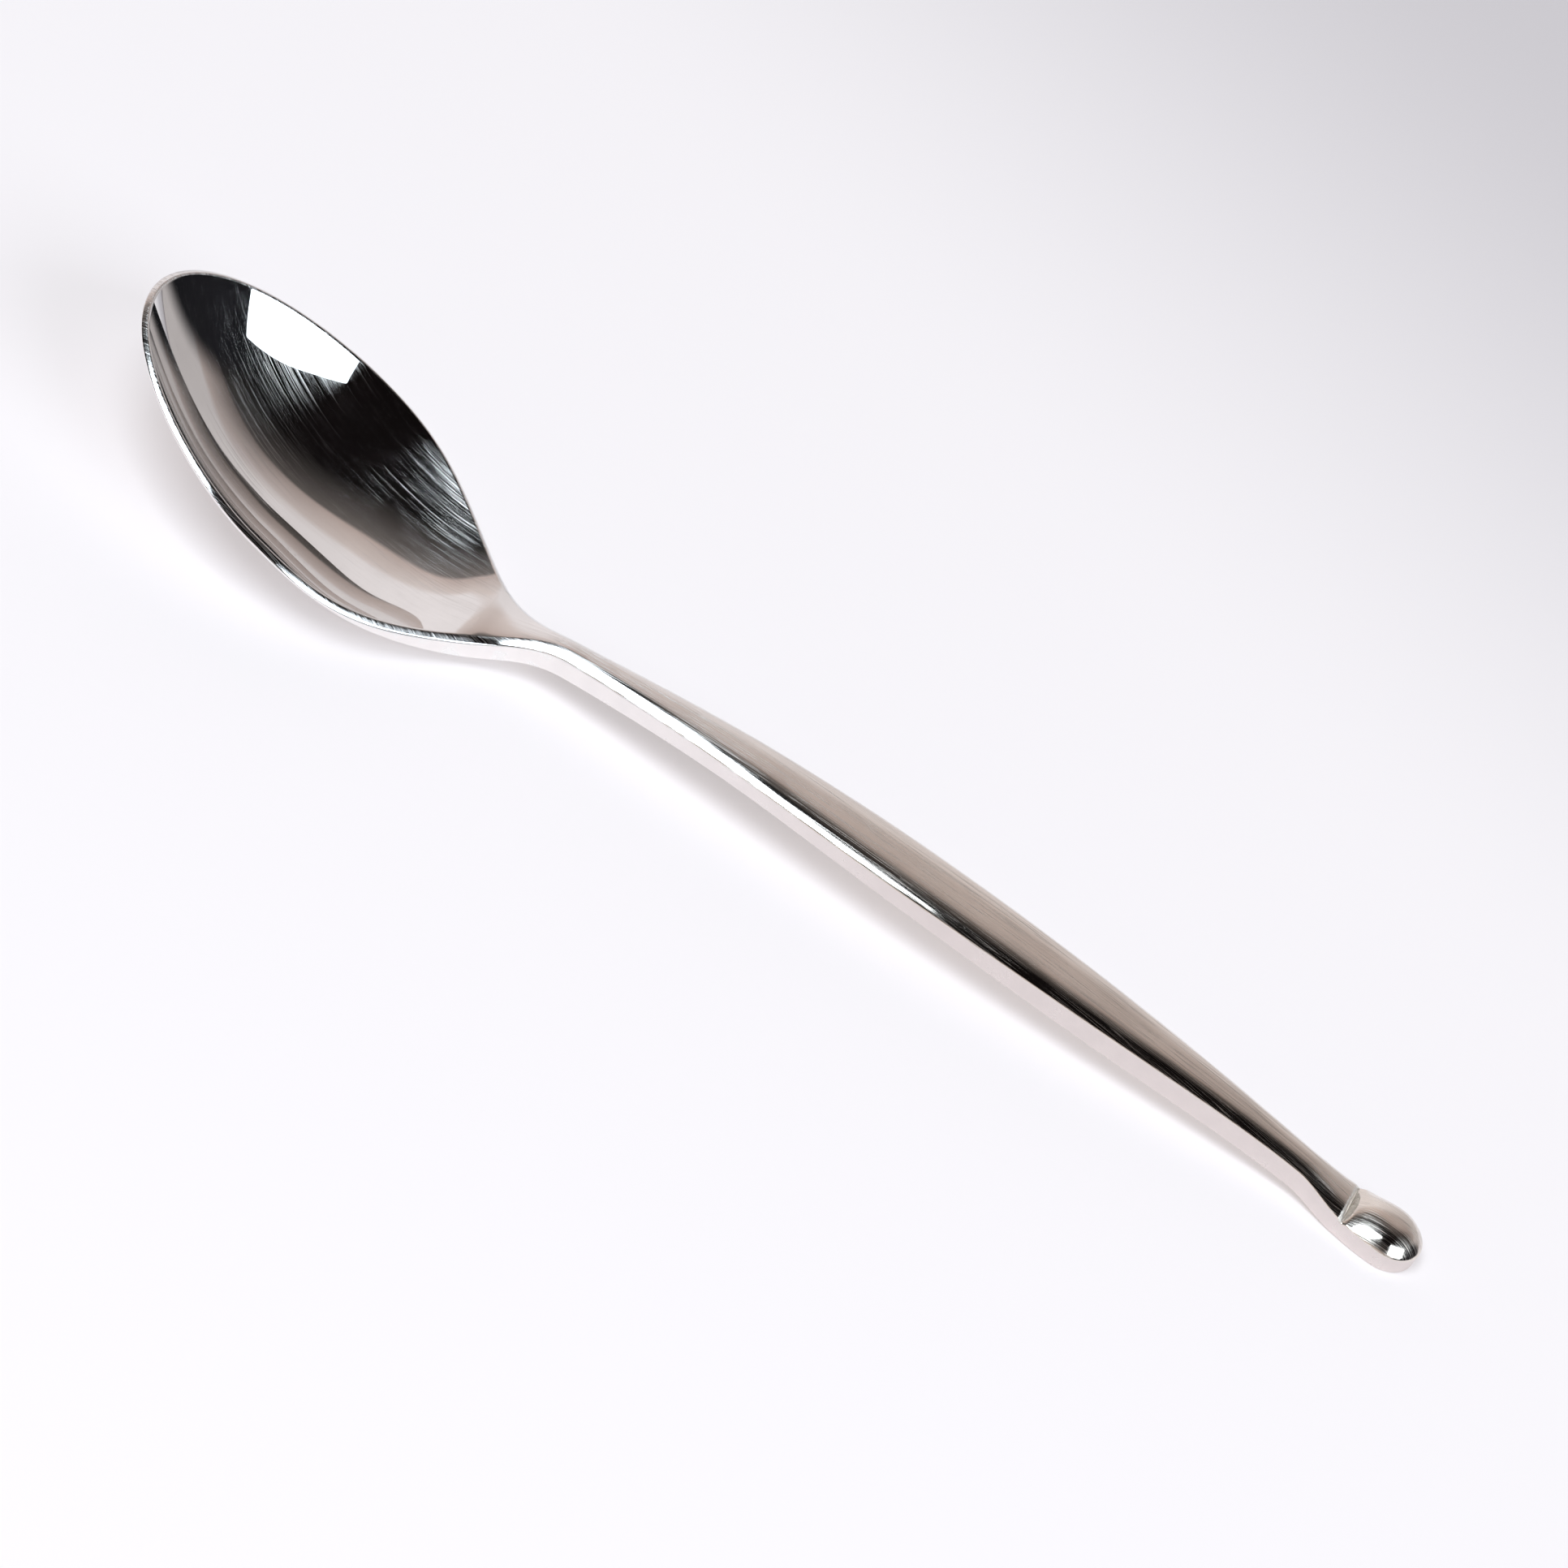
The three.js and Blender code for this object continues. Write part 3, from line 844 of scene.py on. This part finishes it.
def use_group(tree, group, place, **settings):
    """A group placed in a material, with its own values or links."""
    node = tree.nodes.new("ShaderNodeGroup")
    node.node_tree = group
    tree.links.new(place, node.inputs["Place"])
    for socket, value in settings.items():
        set_input(tree, node.inputs[socket], value)
    return node


def scratch_mask(tree, place, turn, length, spacing, width, cover):
    """Hair scratches turned by an angle in radians; gives their mask."""
    node = use_group(
        tree, hair_scratches, place, Turn=turn, Length=length, Spacing=spacing, Width=width, Cover=cover
    )
    return node.outputs["Mask"]


def bump_node(tree, height, strength, distance, normal=None):
    """A Bump node over a height, on top of another normal where one is given."""
    bump = tree.nodes.new("ShaderNodeBump")
    bump.inputs["Strength"].default_value = strength
    bump.inputs["Distance"].default_value = distance
    tree.links.new(height, bump.inputs["Height"])
    if normal is not None:
        tree.links.new(normal, bump.inputs["Normal"])
    return bump.outputs["Normal"]


def set_finish(tree, shader, tint, rough, normal):
    """Links a tint, a roughness and a normal to the shader."""
    tree.links.new(tint.outputs["Colour"], shader.inputs["Base Color"])
    tree.links.new(rough, shader.inputs["Roughness"])
    tree.links.new(normal, shader.inputs["Normal"])


def make_bowl_polish():
    """Mirror polish of the bowl, with the fine marks of stirring and washing."""
    material, tree, shader, place = new_metal("bowl_polish")
    cloud = use_group(tree, cloudy_polish, place, Size=5.0, Low=0.01, High=0.025)
    axes = axes_of(tree, place)
    stirred = range_node(tree, axes["Y"], -0.5 * BOWL_HALF, 0.2 * BOWL_HALF, 0.004, 0.032)
    before = along_spoon(tree, axes["X"], WIPED_START_AT, WIPED_AT, 0.12, 1.7)
    after = along_spoon(tree, axes["X"], WIPED_AT, WIPED_END_AT, 1.0, 0.15)
    heel = along_spoon(tree, axes["X"], STIRRED_START_AT, STIRRED_END_AT, 0.0, 0.7)
    spread = math_node(tree, "MULTIPLY_ADD", before, after, heel)
    worn = math_node(tree, "MULTIPLY", stirred, spread)
    streaks = scratch_mask(tree, place, turn=0.16, length=30.0, spacing=0.08, width=worn, cover=1.3)
    slanted = scratch_mask(tree, place, turn=1.0, length=2.0, spacing=0.3, width=0.006, cover=0.35)
    crossed = scratch_mask(tree, place, turn=-0.7, length=1.5, spacing=0.35, width=0.006, cover=0.35)
    nicks = math_node(tree, "MAXIMUM", slanted, crossed)
    marks = math_node(tree, "MAXIMUM", nicks, streaks)
    rough = math_node(tree, "MULTIPLY_ADD", marks, SCRATCH_ROUGHNESS, cloud.outputs["Roughness"])
    tint = use_group(tree, plate_tint, place, Cloud=cloud.outputs["Cloud"])
    normal = bump_node(tree, nicks, 0.1, FINE_DEPTH)
    set_finish(tree, shader, tint, rough, normal)
    return material


def make_worn_polish(name, bowl_share):
    """Softer polish with hair scratches along the handle, of which the bowl has the given share."""
    material, tree, shader, place = new_metal(name)
    cloud = use_group(tree, cloudy_polish, place, Size=4.0, Low=0.08, High=0.11)
    axes = axes_of(tree, place)
    rubbed = along_spoon(tree, axes["X"], NECK_AT, HANDLE_WIDEST_AT, 0.06, 0.055)
    along = scratch_mask(tree, place, turn=0.02, length=14.0, spacing=0.1, width=rubbed, cover=1.3)
    slanted = scratch_mask(tree, place, turn=0.5, length=1.6, spacing=0.35, width=0.008, cover=0.4)
    marks = math_node(tree, "MAXIMUM", slanted, along)
    lip_at = GROOVE_AT - GROOVE_LEAD
    lip = along_spoon(tree, axes["X"], lip_at, lip_at + GROOVE_LEAD / 2, 0.0, 1.0)
    beyond = along_spoon(tree, axes["X"], GROOVE_AT, GROOVE_AT + GROOVE_LEAD / 4, 1.0, 0.0)
    groove = math_node(tree, "MULTIPLY", lip, beyond)
    scratched = math_node(tree, "MULTIPLY_ADD", marks, SCRATCH_ROUGHNESS, cloud.outputs["Roughness"])
    grown = along_spoon(tree, axes["X"], HEEL_AT, NECK_AT, bowl_share, 1.0)
    worn = math_node(tree, "MULTIPLY", scratched, grown)
    rough = math_node(tree, "MULTIPLY_ADD", groove, GROOVE_ROUGHNESS, worn)
    tint = use_group(tree, plate_tint, place, Cloud=cloud.outputs["Cloud"])
    grain = use_group(tree, satin_grain, place, Grain=0.12, Run=8.0)
    normal = bump_node(tree, grain.outputs["Height"], 0.05, FINE_DEPTH)
    normal = bump_node(tree, slanted, 0.15, FINE_DEPTH, normal)
    speckle = use_group(tree, satin_grain, place, Grain=0.14, Run=1.0)
    pits = math_node(tree, "MULTIPLY", speckle.outputs["Height"], groove)
    normal = bump_node(tree, pits, 0.8, PIT_DEPTH, normal)
    set_finish(tree, shader, tint, rough, normal)
    return material


def make_side_satin():
    """Satin of the flat sides, as the die and a brush leave them, with a tint that is brighter than the
    polished top at the neck as a painted sheen, and darker and warmer along the handle as a painted
    shade.
    """
    cool = (1.0, 0.965, 0.945)
    warm_painted_shade = (0.79, 0.72, 0.695)
    material, tree, shader, place = new_metal("side_satin")
    cloud = use_group(tree, cloudy_polish, place, Size=2.0, Low=0.20, High=0.28)
    # Painted light: the bright cool end is a painted sheen on the flat sides, and the darker warm end
    # is a painted shade along the handle.
    tint = use_group(tree, plate_tint, place, Cloud=cloud.outputs["Cloud"], Cool=cool, Warm=warm_painted_shade)
    grain = use_group(tree, satin_grain, place, Grain=0.16, Run=2.0)
    along = scratch_mask(tree, place, turn=0.0, length=6.0, spacing=0.2, width=0.04, cover=0.6)
    normal = bump_node(tree, grain.outputs["Height"], 0.35, SATIN_DEPTH)
    normal = bump_node(tree, along, 0.1, FINE_DEPTH, normal)
    set_finish(tree, shader, tint, cloud.outputs["Roughness"], normal)
    return material


bowl_polish = make_bowl_polish()
handle_polish = make_worn_polish("handle_polish", 0.15)
rim_polish = make_worn_polish("rim_polish", 1.0)
side_satin = make_side_satin()


def finish_bands(points):
    """Finish of the faces round a loop: 0 above and below, 1 on flat sides, 2 on edges and bevels."""
    width = 2 * len(points) - 1 + UNDERSIDE_COLUMNS - 1
    flat = ROUND_STEPS + FLAT_STEPS
    bevel = flat + ROUND_STEPS + FLAT_STEPS + ROUND_STEPS - 1
    last = 2 * len(points) - 2
    bands = [0] * width
    for j in range(bevel):
        band = 1 if j < flat else 2
        bands[j] = band
        bands[last - 1 - j] = band
    return bands


def make_spoon():
    """The four pieces: bowl, neck and handle over one run of sections, and the drop."""
    bowl_places = from_round_start(0, BOWL_WIDEST_AT, TIP_ROWS)
    bowl_places += even_places(BOWL_WIDEST_AT, HEEL_AT, SHOULDER_ROWS)[1:]
    neck_places = even_places(HEEL_AT, HANDLE_START_AT, NECK_ROWS)[1:]
    lead_at = GROOVE_AT - GROOVE_LEAD
    handle_places = even_places(HANDLE_START_AT, WAIST_AT, HANDLE_ROWS)[1:]
    handle_places += even_places(WAIST_AT, lead_at, WAIST_ROWS)[1:]
    handle_places += to_round_end(lead_at, GROOVE_AT, GROOVE_ROWS)[1:]
    places = bowl_places + neck_places + handle_places
    rows = [whole_loop(spoon_section(s), s) for s in places]
    normals = grid_normals(rows)
    bands = finish_bands(spoon_section(HEEL_AT))
    bowl_finishes = [bowl_polish, side_satin, rim_polish]
    finishes = [handle_polish, side_satin, rim_polish]
    heel = len(bowl_places)
    start = heel + len(neck_places)

    def spoon_piece(name, first, end, piece_finishes, closed_start):
        part = slice(first, end)
        return piece_from_rows(
            name, rows[part], normals[part], bands, piece_finishes, closed_start, False
        )

    bowl = spoon_piece("spoon_bowl", 0, heel, bowl_finishes, True)
    neck = spoon_piece("spoon_neck", heel - 1, start, finishes, False)
    handle = spoon_piece("spoon_handle", start - 1, len(rows), finishes, False)
    drop_places = from_round_start(GROOVE_AT, DROP_CREST_AT, DROP_FRONT_ROWS)
    drop_places += to_round_end(DROP_CREST_AT, LENGTH, DROP_END_ROWS)[1:]
    drop_rows = [whole_loop(drop_section(s), s) for s in drop_places]
    drop_normals = grid_normals(drop_rows)
    drop_bands = finish_bands(drop_section(DROP_CREST_AT))
    drop = piece_from_rows(
        "spoon_drop_end", drop_rows, drop_normals, drop_bands, finishes, False, True
    )
    for piece, node, slot in (
        (bowl, "bowl", "polished_bowl"),
        (neck, "neck", "polished_steel"),
        (handle, "handle", "polished_steel"),
        (drop, "drop_end", "polished_steel"),
    ):
        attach(piece, "root")
        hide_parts(node)


make_spoon()

# The table top in metres: how far it reaches, its colour, and how it is lifted where it is seen,
# which fades to a painted shade with the distance behind the spoon, in place of the lamps' falloff
TABLE_REACH = 2.5
TABLE_GAP = 0.00001
TABLE_COLOUR = (0.985, 0.906, 0.906)
LIFT_SHARE = 0.36
LIFT_COLOUR = (1.0, 0.985, 1.0)
FAR_PAINTED_SHADE_COLOUR = (0.30, 0.29, 0.31)
PAINTED_SHADE_DIRECTION = (0.31, 0.95, 0.0)
PAINTED_SHADE_START = 0.05
PAINTED_SHADE_END = 0.16


def make_table():
    """A plain pale table top under the spoon, lifted to near white where it is seen, with a painted
    shade that darkens the lift behind the spoon.
    """
    mesh = bpy.data.meshes.new("table_top")
    signs = ((-1, -1), (1, -1), (1, 1), (-1, 1))
    corners = [(x * TABLE_REACH, y * TABLE_REACH, 0) for x, y in signs]
    mesh.from_pydata(corners, [], [(0, 1, 2, 3)])
    material = bpy.data.materials.new("table_white")
    material.use_nodes = True
    tree = material.node_tree
    shader = tree.nodes["Principled BSDF"]
    shader.inputs["Base Color"].default_value = (*TABLE_COLOUR, 1)
    shader.inputs["Roughness"].default_value = 0.8
    shader.inputs["Specular IOR Level"].default_value = 0.1
    lift = tree.nodes.new("ShaderNodeEmission")
    coordinates = tree.nodes.new("ShaderNodeTexCoord")
    backwards = tree.nodes.new("ShaderNodeVectorMath")
    backwards.operation = "DOT_PRODUCT"
    backwards.inputs[1].default_value = PAINTED_SHADE_DIRECTION
    tree.links.new(coordinates.outputs["Object"], backwards.inputs[0])
    # Painted shade: the lift fades from near white to grey with the distance behind the spoon.
    away = range_node(tree, backwards.outputs["Value"], PAINTED_SHADE_START, PAINTED_SHADE_END, 0.0, 1.0)
    tree.links.new(mix_node(tree, away, LIFT_COLOUR, FAR_PAINTED_SHADE_COLOUR), lift.inputs["Color"])
    seen = tree.nodes.new("ShaderNodeLightPath")
    rays = math_node(tree, "MAXIMUM", seen.outputs["Is Camera Ray"], seen.outputs["Is Glossy Ray"])
    rays = math_node(tree, "MAXIMUM", rays, seen.outputs["Is Transmission Ray"])
    mix = tree.nodes.new("ShaderNodeMixShader")
    tree.links.new(math_node(tree, "MULTIPLY", rays, LIFT_SHARE), mix.inputs["Fac"])
    tree.links.new(shader.outputs["BSDF"], mix.inputs[1])
    tree.links.new(lift.outputs["Emission"], mix.inputs[2])
    tree.links.new(mix.outputs["Shader"], tree.nodes["Material Output"].inputs["Surface"])
    mesh.materials.append(material)
    table = bpy.data.objects.new("table_top", mesh)
    table.location.z = -TABLE_GAP
    bpy.context.scene.collection.objects.link(table)


make_table()

# Distance of the softboxes in metres, and their slightly cool light
LAMP_DISTANCE = 1.0
LAMP_COLOUR = (0.84, 0.93, 1.0)


def light_direction(sideways, towards):
    """Direction to a light, in degrees sideways to +X and from overhead towards the front."""
    a = math.radians(sideways)
    b = math.radians(towards)
    return Vector((math.sin(a), -math.cos(a) * math.sin(b), math.cos(a) * math.cos(b)))


def make_softbox(name, sideways, towards, half_sideways, half_towards, roll, brightness):
    """A large soft light, sized by the angles in degrees that it fills and turned about its middle."""
    lamp = bpy.data.lights.new(name, "AREA")
    lamp.shape = "RECTANGLE"
    lamp.color = LAMP_COLOUR
    narrowed = half_towards * math.cos(math.radians(sideways))
    lamp.size = 2 * LAMP_DISTANCE * math.tan(math.radians(half_sideways))
    lamp.size_y = 2 * LAMP_DISTANCE * math.tan(math.radians(narrowed))
    lamp.energy = brightness * math.pi * lamp.size * lamp.size_y
    softbox = bpy.data.objects.new(name, lamp)
    back = light_direction(sideways, towards)
    across = light_direction(sideways + 1, towards) - light_direction(sideways - 1, towards)
    across.normalize()
    up = back.cross(across)
    turn = Matrix((across, up, back)).transposed()
    spin = Matrix.Rotation(math.radians(roll), 4, "Z")
    softbox.matrix_world = Matrix.Translation(back * LAMP_DISTANCE) @ turn.to_4x4() @ spin
    bpy.context.scene.collection.objects.link(softbox)


make_softbox(
    "left_softbox",
    sideways=-14.7,
    towards=24.6,
    half_sideways=15.5,
    half_towards=13.9,
    roll=-25,
    brightness=9.13,
)
make_softbox(
    "right_softbox",
    sideways=44.6,
    towards=32.8,
    half_sideways=18.3,
    half_towards=22,
    roll=17,
    brightness=4.67,
)

# Colours of the room where no wall is seen: overhead, and far to the right
DARK = (0.005, 0.004, 0.004)
FAR_RIGHT = (0.012, 0.012, 0.014)


def wall_stops(edge, pale, dim_top, dim_foot, glow, front):
    """Stops from low behind the spoon to low in front: backdrop, dim wall and its glow, dark, front."""
    degrees = (
        (-90, pale),
        (edge - 2, pale),
        (edge + 2, dim_top),
        (-40, dim_foot),
        (-37.5, glow),
        (-12, DARK),
        (52, DARK),
        (66, front),
    )
    return [((degree + 90) / 180, colour) for degree, colour in degrees]


def make_studio_room():
    """The room round the table: a pale backdrop and a dim wall behind, dark overhead, dim in front."""
    world = bpy.data.worlds.new("studio_room")
    bpy.context.scene.world = world
    world.use_nodes = True
    tree = world.node_tree
    background = tree.nodes["Background"]
    coordinates = tree.nodes.new("ShaderNodeTexCoord")
    axes = axes_of(tree, coordinates.outputs["Generated"])
    forwards = math_node(tree, "MULTIPLY", axes["Y"], -1.0)
    towards = math_node(tree, "ARCTAN2", forwards, axes["Z"])
    share = math_node(tree, "ADD", math_node(tree, "DIVIDE", towards, math.pi), 0.5)
    left_stops = wall_stops(
        edge=-55,
        pale=(0.94, 0.885, 0.885),
        dim_top=(0.755, 0.655, 0.62),
        dim_foot=(0.60, 0.49, 0.445),
        glow=(0.17, 0.15, 0.14),
        front=(0.75, 0.66, 0.62),
    )
    right_stops = wall_stops(
        edge=-61,
        pale=(0.55, 0.515, 0.51),
        dim_top=(0.42, 0.36, 0.34),
        dim_foot=(0.14, 0.118, 0.11),
        glow=(0.04, 0.036, 0.034),
        front=(0.4, 0.35, 0.33),
    )
    left = ramp_node(tree, share, left_stops)
    right = ramp_node(tree, share, right_stops)
    wall = mix_node(tree, range_node(tree, axes["X"], -0.34, 0.62, 0.0, 1.0), left, right)
    far_right = range_node(tree, axes["X"], 0.66, 0.8, 0.0, 1.0)
    tree.links.new(mix_node(tree, far_right, wall, FAR_RIGHT), background.inputs["Color"])


make_studio_room()


def make_camera():
    """The photograph's viewpoint: a long lens, slightly right of square on, turned in its roll."""
    azimuth = math.radians(1.0)
    elevation = math.radians(40.0)
    roll = math.radians(33.1)
    distance = 583.2 * MM
    target = Vector((0.143, 0, 5.047)) * MM
    lens = bpy.data.cameras.new("camera")
    lens.sensor_width = 36.0
    lens.lens = 176.93
    lens.clip_start = 0.01
    lens.clip_end = 20.0
    camera = bpy.data.objects.new("camera", lens)
    back = Vector((
        math.sin(azimuth) * math.cos(elevation),
        -math.cos(azimuth) * math.cos(elevation),
        math.sin(elevation),
    ))
    level = Vector((math.cos(azimuth), math.sin(azimuth), 0))
    upright = back.cross(level)
    right = level * math.cos(roll) + upright * math.sin(roll)
    up = upright * math.cos(roll) - level * math.sin(roll)
    turn = Matrix((right, up, back)).transposed()
    camera.matrix_world = Matrix.Translation(target + back * distance) @ turn.to_4x4()
    bpy.context.scene.collection.objects.link(camera)
    bpy.context.scene.camera = camera


make_camera()
bpy.context.scene.view_settings.view_transform = "Standard"
